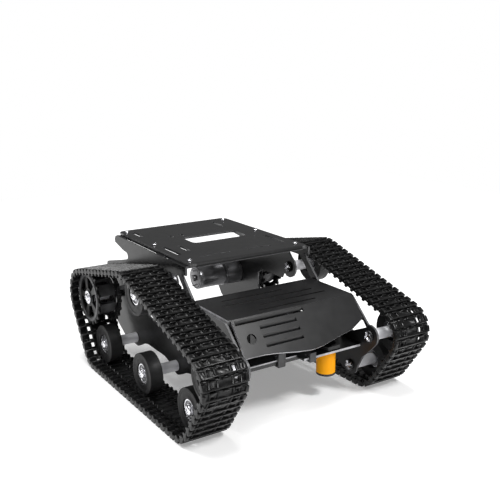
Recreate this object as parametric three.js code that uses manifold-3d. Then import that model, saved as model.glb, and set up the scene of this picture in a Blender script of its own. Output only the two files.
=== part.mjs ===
// Tracked tank chassis: two sheet side plates, an upper and a lower deck, and on each side one closed
// track that runs over a drive sprocket, a return roller, a front idler and three road wheels.
// Units are millimetres. +Z is up, the nose points along -Y, and the robot's left is +X.
// The origin is on the ground, under the middle of the chassis.
import * as THREE from 'three';
import { mergeVertices } from 'three/addons/utils/BufferGeometryUtils.js';
import Module from 'manifold-3d';

const wasm = await Module();
wasm.setup();

// ---- Driving dimensions ------------------------------------------------------------------------
const FIT_GAP = 0.3;            // between pieces that are fastened together
const TURNING_GAP = 0.7;        // between a turning wheel and the inside of the track

// Track
const TRACK_CENTRE = 95;        // distance of each track's middle from the centre plane
const TRACK_WIDTH = 40;
const LINK_PLATE = 2.0;         // thickness of a link's plate
const GROUSER = 2.1;            // height of the bar on its outside
const PITCH_DEPTH = 1.0;        // the pitch line lies this far outside the inner face
const LINK_COUNT = 75;          // links in a track, so that the link pitch is the pitch of the sprocket teeth
const TOOTH_ROW = 10.5;         // each row of tooth windows, from the track's middle
const TOOTH_WINDOW = 3.6;       // width of a window, along the axles
const WINDOW_DEPTH = 2.6;       // the window goes this deep, into the root of the grouser
const TRACK_THICKNESS = LINK_PLATE + GROUSER;

// Wheels
const WHEEL_RADIUS = 18.5;
const WHEEL_WIDTH = 12;
const WHEEL_OUTER_FACE = 102;   // distance of the outer face from the centre plane
const WHEEL_EDGE = 1.2;         // chamfer on the outer face
const BEARING_RADIUS = 9.2;
const BEARING_WIDTH = 8;
const STUB_RADIUS = 2.5;        // the part of the axle that the bearing turns on
const SPACER_RADIUS = 5;
const INNER_HEAD = { radius: 5.4, height: 2.4 };   // round head inside the side plate
const OUTER_HEAD = { radius: 4.6, height: 2.4 };   // round head on the bearing
const HEAD_CROWN = 0.7;         // radius of a head's flat top, as a part of the head's radius
const ROUND_WHEEL = 20;         // sides of a faceted wheel
const ROUND_SMALL = 12;         // sides of a small round piece
const ROUND_AXLE = 8;
const HEXAGON = 6;

// Places of the axles, as [y, z]
const AXLE_HEIGHT = TRACK_THICKNESS + TURNING_GAP + WHEEL_RADIUS;
const ROAD_SPACING = 84.8;
const FRONT_ROAD = -95;
const ROLLER = [0.4, 93];
const IDLER = [-118.8, 58.2];
const SPROCKET = [96.1, 66.2];

// Drive sprocket
const TOOTH_COUNT = 20;
const SPROCKET_SEAT = 25.4;     // radius of the track's inner face where it wraps the sprocket
const DISC_RADIUS = 24.5;
const TOOTH_TIP = 27.2;
const DISC_THICKNESS = 2.2;
const BARREL_RADIUS = 19;
const HUB_BORE = 3.3;

// Sheet metal
const SHEET = 2;
const SIDE_OUTER = 67;          // distance of a side plate's outer face from the centre plane
const SIDE_INNER = SIDE_OUTER - SHEET;
const LOBE = 10;                // radius of the plate round the idler and the roller
const ROAD_LOBE = 9;            // the same round a road wheel's axle
const SIDE_TOP = 119.6;
const SIDE_FLANGE = 13;         // width of the flange that carries the upper deck
const TAIL_TIP = 142.1;         // rear end of the side plates
const UPPER_DECK = { top: 121.9, half: 63, front: -32, rear: 119, lip: 3.5, corner: 6 };
const LOWER_DECK = { top: 90.6, half: 64.6, fold: -95, rear: -36, skirt: 9 };
const GLACIS = { y: -120, z: 60.29, step: 2.6 };
// Lower edge of the nose as [x, z], from the robot's right to its left.
const NOSE_EDGE = [[-44, 64.7], [-33, 63.8], [-12, 61.3], [2, 60.2], [12, 60.8], [50, 67]];
const NOSE_EDGE_ENDS = [64.8, 73];
const FOLD_SLOT = { right: -60, left: 8, front: -98.6, rear: -96.1 };   // opening just below the front fold
const GLACIS_SLOTS = { from: -39, to: -2, width: 2, rows: [-102, -107, -112] };
const GLACIS_HOLE = { x: -50, y: -107, z: 76, radius: 4.5 };
const BOTTOM_PLATE = { top: 47.5, front: -108, rear: 20, stepFront: -97.5, step: 2, lip: 42.8, lipEnd: 12 };

// Gear motors
const MOTOR_RADIUS = 12.5;
const GEARBOX_LENGTH = 21;
const CAN_LENGTH = 31;
const MOTOR_SHAFT = 2;
const COUPLER_RADIUS = 6;

// Proximity sensor, battery and edge clips
const SENSOR = { x: 36, y: -95.5, radius: 8.5, bottom: 22, shoulder: 52, top: 57 };
const BATTERY = { front: -78, rear: -8, half: 34, height: 22 };
const EDGE_CLIPS = [
  { x: -14.5, half: 3.7, edge: BOTTOM_PLATE.stepFront, under: BOTTOM_PLATE.lip, top: 53.3 },
  { x: 10.2, half: 3.2, edge: BOTTOM_PLATE.front, under: BOTTOM_PLATE.top - SHEET, top: 52 },
];

// ---- Materials ---------------------------------------------------------------------------------
const paint = (colour, roughness, metalness) =>
  new THREE.MeshStandardMaterial({ color: colour, roughness, metalness });
const LOOKS = {
  blackSheet: () => paint(0x1b1b1d, 0.42, 0.3),
  trackPlastic: () => paint(0x17171a, 0.5, 0),
  wheelPlastic: () => paint(0x1d1d1f, 0.6, 0),
  satinMetal: () => paint(0xb9b9b4, 0.35, 1),
  brightMetal: () => paint(0xd8d8d8, 0.18, 1),
  gunmetal: () => paint(0x4a4a4c, 0.4, 0.8),
  yellowPlastic: () => paint(0xf0a010, 0.4, 0),
  blackPlastic: () => paint(0x101012, 0.5, 0),
  darkWrap: () => paint(0x1e2126, 0.45, 0),
};

// ---- Small helpers -----------------------------------------------------------------------------
const group = new THREE.Group();

function add(name, geometry, look) {
  const mesh = new THREE.Mesh(geometry, look());
  mesh.name = name;
  group.add(mesh);
  return mesh;
}

function toSolid(geometry) {
  const plain = geometry.clone();
  plain.deleteAttribute('normal');
  plain.deleteAttribute('uv');
  const merged = mergeVertices(plain);
  return new wasm.Manifold(new wasm.Mesh({
    numProp: 3,
    vertProperties: new Float32Array(merged.attributes.position.array),
    triVerts: new Uint32Array(merged.index.array),
  }));
}

function toGeometry(solid) {
  const mesh = solid.getMesh();
  const geometry = new THREE.BufferGeometry();
  geometry.setAttribute('position', new THREE.BufferAttribute(mesh.vertProperties, 3));
  geometry.setIndex(new THREE.BufferAttribute(mesh.triVerts, 1));
  geometry.computeVertexNormals();
  return geometry;
}

const join = (...parts) => toGeometry(parts.map(toSolid).reduce((whole, next) => whole.add(next)));

const cut = (body, ...tools) =>
  toGeometry(tools.map(toSolid).reduce((whole, tool) => whole.subtract(tool), toSolid(body)));

const shapeOf = (points) => new THREE.Shape(points.map(([u, v]) => new THREE.Vector2(u, v)));

// A point on a circle; the angle is in degrees.
function onCircle([cu, cv], radius, degrees) {
  const angle = THREE.MathUtils.degToRad(degrees);
  return [cu + radius * Math.cos(angle), cv + radius * Math.sin(angle)];
}

// Points of an arc, both ends included; angles in degrees.
const arc = (centre, radius, from, to, steps) =>
  Array.from({ length: steps + 1 }, (_, i) => onCircle(centre, radius, from + ((to - from) * i) / steps));

// Extrudes a [y, z] shape from x = low to x = high.
function extrudeAcross(shape, low, high) {
  const axes = new THREE.Matrix4().makeBasis(
    new THREE.Vector3(0, 1, 0), new THREE.Vector3(0, 0, 1), new THREE.Vector3(1, 0, 0));
  const geometry = new THREE.ExtrudeGeometry(shape, { depth: high - low, bevelEnabled: false });
  return geometry.applyMatrix4(axes).translate(low, 0, 0);
}

// The same on either side of the chassis: near and far are distances from the centre plane.
const extrudeOnSide = (shape, side, near, far) =>
  extrudeAcross(shape, Math.min(side * near, side * far), Math.max(side * near, side * far));

// Extrudes an [x, y] shape upwards.
const extrudeUp = (shape, low, high) =>
  new THREE.ExtrudeGeometry(shape, { depth: high - low, bevelEnabled: false }).translate(0, 0, low);

// Extrudes an [x, z] outline from y = low to y = high.
function extrudeAlongY(points, low, high) {
  const axes = new THREE.Matrix4().makeBasis(
    new THREE.Vector3(1, 0, 0), new THREE.Vector3(0, 0, 1), new THREE.Vector3(0, -1, 0));
  const geometry = new THREE.ExtrudeGeometry(shapeOf(points), { depth: high - low, bevelEnabled: false });
  return geometry.applyMatrix4(axes).translate(0, high, 0);
}

// Turns a profile of [radius, distance from the centre plane] round an axle at [y, z].
function turnOnAxle(profile, side, [y, z], sides) {
  const points = profile.map(([radius, along]) => new THREE.Vector2(radius, along));
  const geometry = new THREE.LatheGeometry(points, sides);
  return geometry.rotateZ((-side * Math.PI) / 2).translate(0, y, z);
}

const box = (x0, x1, y0, y1, z0, z1) =>
  new THREE.BoxGeometry(x1 - x0, y1 - y0, z1 - z0).translate((x0 + x1) / 2, (y0 + y1) / 2, (z0 + z1) / 2);

// A slot or round hole through a horizontal sheet, as a cutting tool; the slot runs along its longer side.
function slotTool(x0, x1, y0, y1, top) {
  const radius = Math.min(x1 - x0, y1 - y0) / 2;
  const along = x1 - x0 > y1 - y0;
  const outline = along
    ? [...arc([x1 - radius, (y0 + y1) / 2], radius, -90, 90, 4),
      ...arc([x0 + radius, (y0 + y1) / 2], radius, 90, 270, 4)]
    : [...arc([(x0 + x1) / 2, y1 - radius], radius, 0, 180, 4),
      ...arc([(x0 + x1) / 2, y0 + radius], radius, 180, 360, 4)];
  return extrudeUp(shapeOf(outline), top - 3 * SHEET, top + SHEET);
}

// ---- The track's path --------------------------------------------------------------------------
// The loop is the outer hull of five circles, taken in the order that a point on the track passes them.
const roadAxles = [0, 1, 2].map((i) => [FRONT_ROAD + i * ROAD_SPACING, AXLE_HEIGHT]);
const WHEEL_SEAT = WHEEL_RADIUS + TURNING_GAP;
const trackCircles = [
  { centre: SPROCKET, radius: SPROCKET_SEAT },
  { centre: ROLLER, radius: WHEEL_SEAT },
  { centre: IDLER, radius: WHEEL_SEAT },
  { centre: roadAxles[0], radius: WHEEL_SEAT },
  { centre: roadAxles[2], radius: WHEEL_SEAT },
];

// Direction of the outward normal of the straight run that leaves one circle for the next.
function runNormal(from, to) {
  const [du, dv] = [to.centre[0] - from.centre[0], to.centre[1] - from.centre[1]];
  return Math.atan2(dv, du) - Math.acos((from.radius - to.radius) / Math.hypot(du, dv));
}

const pointAt = ({ centre, radius }, angle, height) => [
  centre[0] + (radius + height) * Math.cos(angle),
  centre[1] + (radius + height) * Math.sin(angle),
];

// Arcs and straight runs, with their lengths along the pitch line.
function trackPieces() {
  const normals = trackCircles.map((circle, i) =>
    runNormal(circle, trackCircles[(i + 1) % trackCircles.length]));
  const pieces = [];
  trackCircles.forEach((circle, i) => {
    const start = normals[(i + trackCircles.length - 1) % trackCircles.length];
    const turn = THREE.MathUtils.euclideanModulo(normals[i] - start, 2 * Math.PI);
    pieces.push({ circle, start, turn, length: turn * (circle.radius + PITCH_DEPTH) });
    const next = trackCircles[(i + 1) % trackCircles.length];
    const [p, q] = [pointAt(circle, normals[i], 0), pointAt(next, normals[i], 0)];
    pieces.push({ circle, next, normal: normals[i], length: Math.hypot(q[0] - p[0], q[1] - p[1]) });
  });
  return pieces;
}

const pieces = trackPieces();
const loopLength = pieces.reduce((sum, piece) => sum + piece.length, 0);
const linkPitch = loopLength / LINK_COUNT;

// Point of the track at a distance along its pitch line and a height over its inner face.
function onTrack(distance, height) {
  let left = THREE.MathUtils.euclideanModulo(distance, loopLength);
  for (const piece of pieces) {
    if (left <= piece.length) {
      const part = left / piece.length;
      if (piece.turn !== undefined) {
        return pointAt(piece.circle, piece.start + part * piece.turn, height);
      }
      const from = pointAt(piece.circle, piece.normal, height);
      const to = pointAt(piece.next, piece.normal, height);
      return [from[0] + part * (to[0] - from[0]), from[1] + part * (to[1] - from[1])];
    }
    left -= piece.length;
  }
  return onTrack(0, height);
}

const sprocketPhase = pieces[0].start;

// ---- Tracks ------------------------------------------------------------------------------------
// Link k has its middle at k pitches. Its grouser covers most of the plate, and the sprocket's teeth reach
// through the windows in the links' middles.
const GROUSER_SPAN = [-0.36, -0.3, 0.3, 0.36];

function trackOutline() {
  const outer = [];
  const inner = [];
  for (let link = 0; link < LINK_COUNT; link += 1) {
    const heights = [LINK_PLATE, TRACK_THICKNESS, TRACK_THICKNESS, LINK_PLATE];
    GROUSER_SPAN.forEach((part, i) => outer.push(onTrack((link + part) * linkPitch, heights[i])));
    inner.push(onTrack((link - 0.5) * linkPitch, 0));
  }
  const shape = shapeOf(outer);
  shape.holes.push(shapeOf(inner.reverse()));
  return shape;
}

// The windows are open along the stretch that wraps the sprocket, and two links past it at each end.
function windowBand() {
  const spare = 2;
  const count = Math.ceil(pieces[0].length / linkPitch) + 2 * spare;
  const at = (height) =>
    Array.from({ length: count }, (_, i) => onTrack((i - spare) * linkPitch, height));
  return shapeOf([...at(WINDOW_DEPTH), ...at(-PITCH_DEPTH).reverse()]);
}

function track(side, name) {
  const half = TRACK_WIDTH / 2;
  const band = extrudeOnSide(trackOutline(), side, TRACK_CENTRE - half, TRACK_CENTRE + half);
  const windows = [-TOOTH_ROW, TOOTH_ROW].map((row) => extrudeOnSide(
    windowBand(), side, TRACK_CENTRE + row - TOOTH_WINDOW / 2, TRACK_CENTRE + row + TOOTH_WINDOW / 2));
  add(`track_${name}`, cut(band, ...windows), LOOKS.trackPlastic);
}

// ---- Wheels, bearings and axles ----------------------------------------------------------------
const WHEEL_INNER_FACE = WHEEL_OUTER_FACE - WHEEL_WIDTH;
const BEARING_OUTER_FACE = WHEEL_OUTER_FACE - 1;

function wheel(side, place, name) {
  const bore = BEARING_RADIUS + FIT_GAP;
  add(name, turnOnAxle([
    [bore, WHEEL_INNER_FACE],
    [WHEEL_RADIUS, WHEEL_INNER_FACE],
    [WHEEL_RADIUS, WHEEL_OUTER_FACE - WHEEL_EDGE],
    [WHEEL_RADIUS - WHEEL_EDGE, WHEEL_OUTER_FACE],
    [bore, WHEEL_OUTER_FACE],
    [bore, WHEEL_INNER_FACE],
  ], side, place, ROUND_WHEEL), LOOKS.wheelPlastic);
}

function bearing(side, place, name) {
  const bore = STUB_RADIUS + 2 * FIT_GAP;
  const inner = BEARING_OUTER_FACE - BEARING_WIDTH;
  add(name, turnOnAxle([
    [bore, inner],
    [BEARING_RADIUS, inner],
    [BEARING_RADIUS, BEARING_OUTER_FACE],
    [bore, BEARING_OUTER_FACE],
    [bore, inner],
  ], side, place, ROUND_SMALL), LOOKS.brightMetal);
}

// A spacer on the plate with a stub for the bearing; a screw's round head closes it at either end.
function axle(side, place, name) {
  const shoulder = BEARING_OUTER_FACE - BEARING_WIDTH - FIT_GAP;
  const innerSeat = SIDE_INNER - FIT_GAP;
  const outerSeat = BEARING_OUTER_FACE + FIT_GAP;
  add(name, turnOnAxle([
    [0, innerSeat - INNER_HEAD.height],
    [INNER_HEAD.radius * HEAD_CROWN, innerSeat - INNER_HEAD.height],
    [INNER_HEAD.radius, innerSeat],
    [STUB_RADIUS, innerSeat],
    [STUB_RADIUS, SIDE_OUTER + FIT_GAP],
    [SPACER_RADIUS, SIDE_OUTER + FIT_GAP],
    [SPACER_RADIUS, shoulder],
    [STUB_RADIUS, shoulder],
    [STUB_RADIUS, outerSeat],
    [OUTER_HEAD.radius, outerSeat],
    [OUTER_HEAD.radius * HEAD_CROWN, outerSeat + OUTER_HEAD.height],
    [0, outerSeat + OUTER_HEAD.height],
  ], side, place, ROUND_AXLE), LOOKS.satinMetal);
}

const wheelPlaces = {
  return_roller: ROLLER,
  idler_wheel: IDLER,
  road_wheel_front: roadAxles[0],
  road_wheel_middle: roadAxles[1],
  road_wheel_rear: roadAxles[2],
};

function runningGear(side, name) {
  for (const [wheelName, place] of Object.entries(wheelPlaces)) {
    wheel(side, place, `${wheelName}_${name}`);
    bearing(side, place, `${wheelName}_bearing_${name}`);
    axle(side, place, `${wheelName}_axle_${name}`);
  }
}

// ---- Drive sprockets, couplers and gear motors --------------------------------------------------
function toothedDisc() {
  const rim = [];
  const toothStep = 360 / TOOTH_COUNT;
  for (let tooth = 0; tooth < TOOTH_COUNT; tooth += 1) {
    const middle = THREE.MathUtils.radToDeg(sprocketPhase) + tooth * toothStep;
    const corners = [[-0.3, DISC_RADIUS], [-0.14, TOOTH_TIP], [0.14, TOOTH_TIP], [0.3, DISC_RADIUS]];
    for (const [part, radius] of corners) {
      rim.push(onCircle([0, 0], radius, middle + part * toothStep));
    }
  }
  const disc = shapeOf(rim);
  const holeCount = 5;
  const holeCircle = 14.5;
  for (let i = 0; i < holeCount; i += 1) {
    const centre = onCircle([0, 0], holeCircle, (360 / holeCount) * i);
    disc.holes.push(shapeOf(arc(centre, 5, 360, 0, HEXAGON).slice(1)));
  }
  disc.holes.push(shapeOf(arc([0, 0], HUB_BORE, 450, 90, HEXAGON).slice(1)));
  return disc;
}

function sprocket(side, name) {
  const half = DISC_THICKNESS / 2;
  const discFaces = { inner: TRACK_CENTRE - TOOTH_ROW, outer: TRACK_CENTRE + TOOTH_ROW };
  for (const [which, middle] of Object.entries(discFaces)) {
    const disc = extrudeOnSide(toothedDisc(), side, middle - half, middle + half);
    add(`sprocket_${which}_disc_${name}`, disc.translate(0, ...SPROCKET), LOOKS.trackPlastic);
  }
  const from = discFaces.inner + half + FIT_GAP;
  const to = discFaces.outer - half - FIT_GAP;
  const wall = 3;
  add(`sprocket_barrel_${name}`, turnOnAxle([
    [BARREL_RADIUS - wall, from],
    [BARREL_RADIUS, from],
    [BARREL_RADIUS, to],
    [BARREL_RADIUS - wall, to],
    [BARREL_RADIUS - wall, from],
  ], side, SPROCKET, ROUND_WHEEL), LOOKS.trackPlastic);
}

// One turned piece: motor shaft, hexagon coupler, the pin through the sprocket and the hub screw.
function driveCoupler(side, name) {
  const pin = HUB_BORE - FIT_GAP - 0.1;
  const shoulder = TRACK_CENTRE - TOOTH_ROW - DISC_THICKNESS / 2 - FIT_GAP;
  const end = TRACK_CENTRE + TOOTH_ROW + DISC_THICKNESS / 2 + FIT_GAP;
  add(`drive_coupler_${name}`, turnOnAxle([
    [0, SIDE_INNER],
    [MOTOR_SHAFT, SIDE_INNER],
    [MOTOR_SHAFT, SIDE_OUTER + 1.5],
    [COUPLER_RADIUS, SIDE_OUTER + 1.5],
    [COUPLER_RADIUS, shoulder],
    [pin, shoulder],
    [pin, end],
    [COUPLER_RADIUS - 1, end],
    [COUPLER_RADIUS - 2, end + 2.5],
    [0, end + 2.5],
  ], side, SPROCKET, HEXAGON), LOOKS.satinMetal);
}

function gearMotor(side, name) {
  const face = SIDE_INNER - FIT_GAP;
  const split = face - GEARBOX_LENGTH;
  const capLength = 4;
  add(`gearbox_${name}`, turnOnAxle([
    [0, split + FIT_GAP],
    [MOTOR_RADIUS, split + FIT_GAP],
    [MOTOR_RADIUS, face],
    [0, face],
  ], side, SPROCKET, ROUND_WHEEL), LOOKS.gunmetal);
  add(`motor_can_${name}`, turnOnAxle([
    [0, split - CAN_LENGTH - capLength],
    [MOTOR_RADIUS * 0.5, split - CAN_LENGTH - capLength],
    [MOTOR_RADIUS * 0.5, split - CAN_LENGTH],
    [MOTOR_RADIUS - 0.4, split - CAN_LENGTH],
    [MOTOR_RADIUS - 0.4, split],
    [0, split],
  ], side, SPROCKET, ROUND_WHEEL), LOOKS.gunmetal);
}

// ---- Side plates -------------------------------------------------------------------------------
const ARCH_TOP = AXLE_HEIGHT + 1.2;
// Half of an arch between two road wheels: distance from the axle and depth under the arch's top.
const ARCH_STEPS = [[11, 6], [17, 2.6], [25, 0.6]];

// The lower edge between two road-wheel lobes, from front to rear.
function arch(front, rear) {
  return [
    ...ARCH_STEPS.map(([away, drop]) => [front + away, ARCH_TOP - drop]),
    ...ARCH_STEPS.toReversed().map(([away, drop]) => [rear - away, ARCH_TOP - drop]),
  ];
}

function sidePlateOutline() {
  const [front, middle, rear] = roadAxles;
  const tail = { top: 87.6, bottom: 44, round: 4 };
  const neck = { centre: [92, 103], radius: 3.5 };
  const deckEnd = UPPER_DECK.rear - 5;
  return [
    // Nose: the lobe of the idler, then down to the lobe of the front road wheel.
    ...arc(IDLER, LOBE, 75, 225, 7),
    [IDLER[0] + 8, IDLER[1] - 22],
    ...arc(front, ROAD_LOBE, 180, 300, 5),
    ...arch(front[0], middle[0]),
    ...arc(middle, ROAD_LOBE, 240, 300, 3),
    ...arch(middle[0], rear[0]),
    ...arc(rear, ROAD_LOBE, 240, 285, 2),
    // Tail: up behind the rear road wheel, then forward to the neck under the upper deck.
    [rear[0] + 28, 16.7],
    [rear[0] + 55, 31],
    ...arc([TAIL_TIP - tail.round, tail.bottom + tail.round], tail.round, -45, 0, 2),
    ...arc([TAIL_TIP - tail.round, tail.top - tail.round], tail.round, 0, 72, 3),
    [104, 96.2],
    ...arc(neck.centre, neck.radius, 240, 100, 4),
    [99, 107.2],
    [108, 109.4],
    ...arc([deckEnd, 114.4], 5, -30, 90, 3),
    // Top edge under the upper deck, the sloping strut and the edge along the lower deck.
    [deckEnd, SIDE_TOP],
    [UPPER_DECK.front + 2, SIDE_TOP],
    [UPPER_DECK.front + 2, 112],
    [-23, 112],
    [-47, LOWER_DECK.top - SHEET],
    [LOWER_DECK.fold + 1, LOWER_DECK.top - SHEET],
  ];
}

// The opening between the strut, the lower beam and the rear part; it bends round the roller's lobe.
function sideWindow() {
  return [
    [-66, 34],
    [50, 54.5],
    [56, 60],
    [55, 74],
    [48, 79],
    [12, 79],
    ...arc(ROLLER, LOBE + 1, -42, -250, 7),
    [2, 109],
    [-17, 109],
    [-42, 83],
    [-78, 79],
    [-86, 68],
    [-80, 46],
  ];
}

// A small opening between the idler's arm and the strip along the nose.
const NOSE_WINDOW = [[-114.2, 64.8], [-109.5, 70], [-105, 69.5], [-98, 66], [-92.5, 57.5], [-96, 56.2]];

// Slots through the bend between the plate and its flange, as [front, rear].
const BEND_SLOTS = [[4, 13], [27, 98]];

// The two distances from the centre plane as x values on the given side, the lower one first.
const across = (side, near, far) => [side * near, side * far].sort((a, b) => a - b);

function sidePlate(side, name) {
  const plate = shapeOf(sidePlateOutline());
  plate.holes.push(shapeOf(sideWindow()), shapeOf(NOSE_WINDOW));
  for (const place of Object.values(wheelPlaces)) {
    plate.holes.push(shapeOf(arc(place, STUB_RADIUS + 2 * FIT_GAP, 360, 0, 8).slice(1)));
  }
  plate.holes.push(shapeOf(arc(SPROCKET, 4, 360, 0, 8).slice(1)));
  const web = extrudeOnSide(plate, side, SIDE_INNER, SIDE_OUTER);
  const flange = box(...across(side, SIDE_INNER - SIDE_FLANGE, SIDE_INNER + 1),
    UPPER_DECK.front + 4, UPPER_DECK.rear - 6, SIDE_TOP - SHEET, SIDE_TOP);
  const slots = BEND_SLOTS.map(([from, to]) =>
    box(...across(side, SIDE_INNER - 2.6, SIDE_OUTER - 1), from, to, SIDE_TOP - SHEET - 0.4, SIDE_TOP + 1));
  add(`side_plate_${name}`, cut(join(web, flange), ...slots), LOOKS.blackSheet);
}

// ---- Decks and bottom plate --------------------------------------------------------------------
function roundedSheet(x0, x1, y0, y1, radius) {
  return shapeOf([
    ...arc([x1 - radius, y1 - radius], radius, 0, 90, 3),
    ...arc([x0 + radius, y1 - radius], radius, 90, 180, 3),
    ...arc([x0 + radius, y0 + radius], radius, 180, 270, 3),
    ...arc([x1 - radius, y0 + radius], radius, 270, 360, 3),
  ]);
}

function upperDeck() {
  const { top, half, front, rear, lip, corner } = UPPER_DECK;
  const lipHalf = half - corner;
  const sheet = extrudeUp(roundedSheet(-half, half, front, rear, corner), top - SHEET, top);
  const bend = extrudeAcross(shapeOf([
    ...arc([front + 3, top - 3], 3, 180, 90, 3),
    [front + 8, top],
    [front + 8, top - SHEET],
    ...arc([front + 3, top - 3], 1, 90, 180, 2),
    [front + SHEET, top - lip],
    [front, top - lip],
  ]), -lipHalf, lipHalf);
  const trimmed = cut(sheet, box(-lipHalf, lipHalf, front - 1, front + 6, top - 2 * SHEET, top + 1));
  const cableWindow = extrudeUp(roundedSheet(-22, 38, 34, 60, 5), top - 2 * SHEET, top + SHEET);
  const slots = [
    slotTool(-42, -38, 12, 33, top), slotTool(-56, -52, 3, 37, top), slotTool(-54, -50, 86, 108, top),
    slotTool(-42, -10, -14, -11, top), slotTool(38, 42, 86, 108, top), slotTool(-30, -26, 66, 76, top),
    slotTool(-18, -14, 66, 76, top), slotTool(50, 54, -10, 26, top), slotTool(6, 34, -14, -11, top),
  ];
  add('upper_deck', cut(join(trimmed, bend), cableWindow, ...slots), LOOKS.blackSheet);
}

function lowerDeck() {
  const { top, half, fold, rear, skirt } = LOWER_DECK;
  const slope = Math.hypot(GLACIS.y - fold, GLACIS.z - top);
  const [normalY, normalZ] = [(top - GLACIS.z) / slope, (fold - GLACIS.y) / slope];
  const profile = extrudeAcross(shapeOf([
    [rear, top],
    [fold, top],
    [GLACIS.y, GLACIS.z],
    [GLACIS.y + SHEET * normalY, GLACIS.z - SHEET * normalZ],
    [fold + SHEET * 0.4, top - SHEET],
    [rear, top - SHEET],
  ]), -half, half);
  const skirts = [-half, half - SHEET].map((x) =>
    box(x, x + SHEET, fold + 6, rear - 6, top - skirt, top - SHEET / 2));
  // The lower edge of the nose rises to both sides; on the right the whole slope stops short of the plate.
  const [noseLow, noseFront, noseRear] = [GLACIS.z - 6, GLACIS.y - 8, fold - 4];
  const underNose = extrudeAlongY([
    [-half - 2, noseLow],
    [half + 2, noseLow],
    [half + 2, NOSE_EDGE_ENDS[1]],
    ...NOSE_EDGE.toReversed(),
    [-half - 2, NOSE_EDGE_ENDS[0]],
  ], noseFront, noseRear);
  const rightStep = box(-half - 2, -half + GLACIS.step, noseFront, fold - 0.5, noseLow, top + 1);
  const foldSlot = box(FOLD_SLOT.right, FOLD_SLOT.left, FOLD_SLOT.front, FOLD_SLOT.rear, top - 9, top + 1);
  const slots = [
    slotTool(-44, 20, -52, -49.5, top), slotTool(-50, 44, -64, -61.5, top),
    slotTool(-20, 50, -76, -73.5, top), slotTool(-30, 30, -88, -85.5, top),
  ];
  const reach = GLACIS_SLOTS.width / 2;
  const glacisSlots = GLACIS_SLOTS.rows.map((y) =>
    box(GLACIS_SLOTS.from, GLACIS_SLOTS.to, y - reach, y + reach, GLACIS.z - 4, top - 2));
  const hole = new THREE.CylinderGeometry(GLACIS_HOLE.radius, GLACIS_HOLE.radius, 7 * SHEET, ROUND_SMALL)
    .rotateX(Math.atan2(normalY, normalZ) + Math.PI / 2)
    .translate(GLACIS_HOLE.x, GLACIS_HOLE.y, GLACIS_HOLE.z);
  const openings = [underNose, rightStep, foldSlot, ...slots, ...glacisSlots, hole];
  add('lower_deck', cut(join(profile, ...skirts), ...openings), LOOKS.blackSheet);
}

function bottomPlate() {
  const { top, front, rear, stepFront, step, lip, lipEnd } = BOTTOM_PLATE;
  const half = SIDE_INNER - FIT_GAP;
  const hole = new THREE.CylinderGeometry(SENSOR.radius + 0.5, SENSOR.radius + 0.5, 4 * SHEET, ROUND_SMALL)
    .rotateX(Math.PI / 2).translate(SENSOR.x, SENSOR.y, top);
  const outline = shapeOf([
    [half, rear],
    [-half, rear],
    [-half, stepFront],
    [step, stepFront],
    [step, front],
    [half, front],
  ]);
  const sheet = extrudeUp(outline, top - SHEET, top);
  const skirts = [-half, half - SHEET].map((x) => box(x, x + SHEET, -78, rear - 6, top - SHEET / 2, top + 6));
  const lipFront = stepFront + FIT_GAP;
  const frontLip = box(-half, lipEnd, lipFront, lipFront + SHEET, lip, top - SHEET / 2);
  const plate = cut(join(sheet, frontLip, ...skirts), hole, slotTool(-30, 20, -4, 0, top));
  add('bottom_plate', plate, LOOKS.blackSheet);
}

// ---- Sensor, battery and clips -----------------------------------------------------------------
function standingLathe(profile, x, y, sides) {
  const points = profile.map(([radius, height]) => new THREE.Vector2(radius, height));
  return new THREE.LatheGeometry(points, sides).rotateX(Math.PI / 2).translate(x, y, 0);
}

function sensorAndBattery() {
  const { x, y, radius, bottom, shoulder, top } = SENSOR;
  const seat = BOTTOM_PLATE.top;
  add('proximity_sensor', standingLathe([
    [0, bottom],
    [radius - 0.6, bottom],
    [radius, bottom + 1],
    [radius, shoulder],
    [radius - 3, shoulder + 1],
    [radius - 3, top],
    [0, top],
  ], x, y, ROUND_WHEEL), LOOKS.yellowPlastic);
  add('sensor_nut', standingLathe([
    [radius + 0.4, seat + FIT_GAP],
    [radius + 4, seat + FIT_GAP],
    [radius + 4, seat + 4],
    [radius + 0.4, seat + 4],
    [radius + 0.4, seat + FIT_GAP],
  ], x, y, ROUND_SMALL), LOOKS.blackPlastic);
  const { front, rear, half, height } = BATTERY;
  add('battery_pack', extrudeUp(
    roundedSheet(-half, half - 8, front, rear, 4), seat + FIT_GAP, seat + FIT_GAP + height), LOOKS.darkWrap);
  const [grip, reach] = [1.8, 7];
  EDGE_CLIPS.forEach((clip, i) => {
    const clipFront = clip.edge - FIT_GAP;
    const outline = shapeOf([
      [clipFront - grip, clip.under - FIT_GAP - grip],
      [clipFront + reach, clip.under - FIT_GAP - grip],
      [clipFront + reach, clip.under - FIT_GAP],
      [clipFront, clip.under - FIT_GAP],
      [clipFront, seat + FIT_GAP],
      [clipFront + reach - 2, seat + FIT_GAP],
      [clipFront + reach - 2, seat + FIT_GAP + grip],
      [clipFront + 1, seat + FIT_GAP + grip],
      [clipFront, clip.top],
      [clipFront - grip, clip.top],
    ]);
    const [left, right] = [clip.x - clip.half, clip.x + clip.half];
    add(`edge_clip_${i + 1}`, extrudeAcross(outline, left, right), LOOKS.blackPlastic);
  });
}

// ---- Assembly ----------------------------------------------------------------------------------
upperDeck();
lowerDeck();
bottomPlate();
sensorAndBattery();
for (const [side, name] of [[1, 'left'], [-1, 'right']]) {
  sidePlate(side, name);
  track(side, name);
  runningGear(side, name);
  sprocket(side, name);
  driveCoupler(side, name);
  gearMotor(side, name);
}

export default group;
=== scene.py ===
"""Looks of the tracked tank chassis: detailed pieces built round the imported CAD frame, in metres."""
import math

import bmesh
import bpy
from mathutils import Matrix, Vector


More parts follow.
